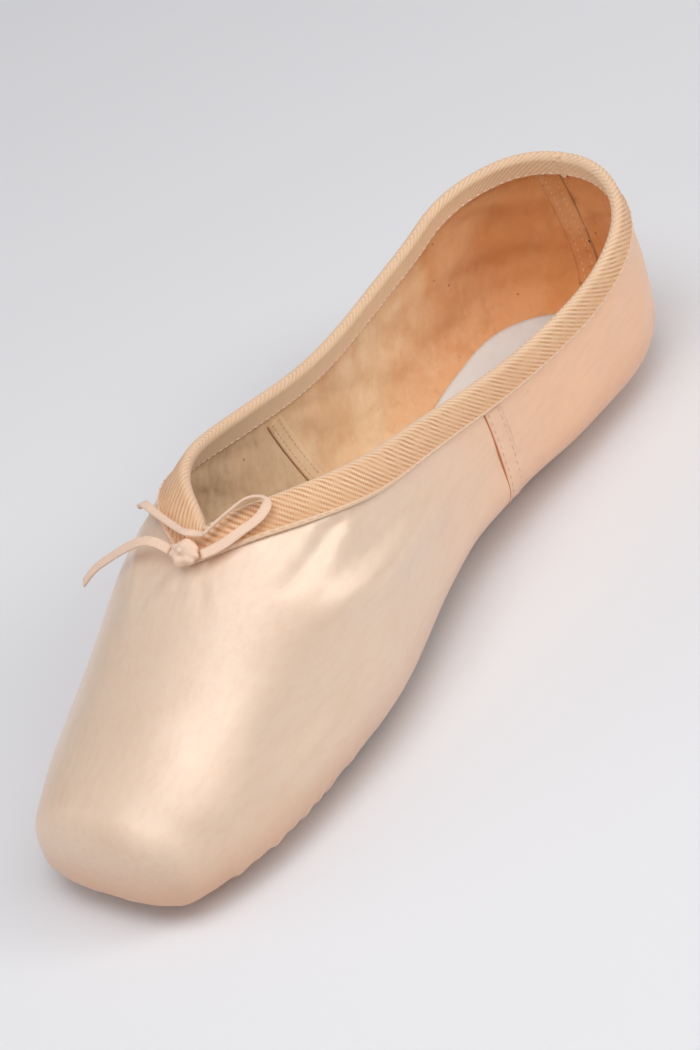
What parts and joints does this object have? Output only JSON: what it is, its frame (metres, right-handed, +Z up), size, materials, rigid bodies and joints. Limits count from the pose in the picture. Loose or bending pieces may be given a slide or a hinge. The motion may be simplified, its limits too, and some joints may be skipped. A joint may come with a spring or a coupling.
{
  "type": "pointe shoe",
  "caption": "Satin pointe shoe standing empty: stiff box and platform, split-away leather outsole, deep collar with twill binding and a drawstring bow.",
  "frame": {"origin": "on the floor, under the middle of the shoe's length and width", "axes": "-Y toward the toe, +Y toward the heel, +Z up, +X to the side that shows in the picture"},
  "size_m": [0.0753, 0.2424, 0.0699],
  "materials": {
    "satin": "satin",
    "sole_leather": "matte",
    "sock_lining": "matte",
    "twill": "matte",
    "cotton_cord": "matte"
  },
  "bodies": {
    "root": {"upper": "satin", "outsole": "sole_leather", "insole": "sock_lining", "collar_binding": "twill", "heel_strip": "satin", "drawstring_knot": "cotton_cord", "drawstring_loop": "cotton_cord", "drawstring_end": "cotton_cord", "drawstring_tail": "cotton_cord"}
  },
  "joints": []
}
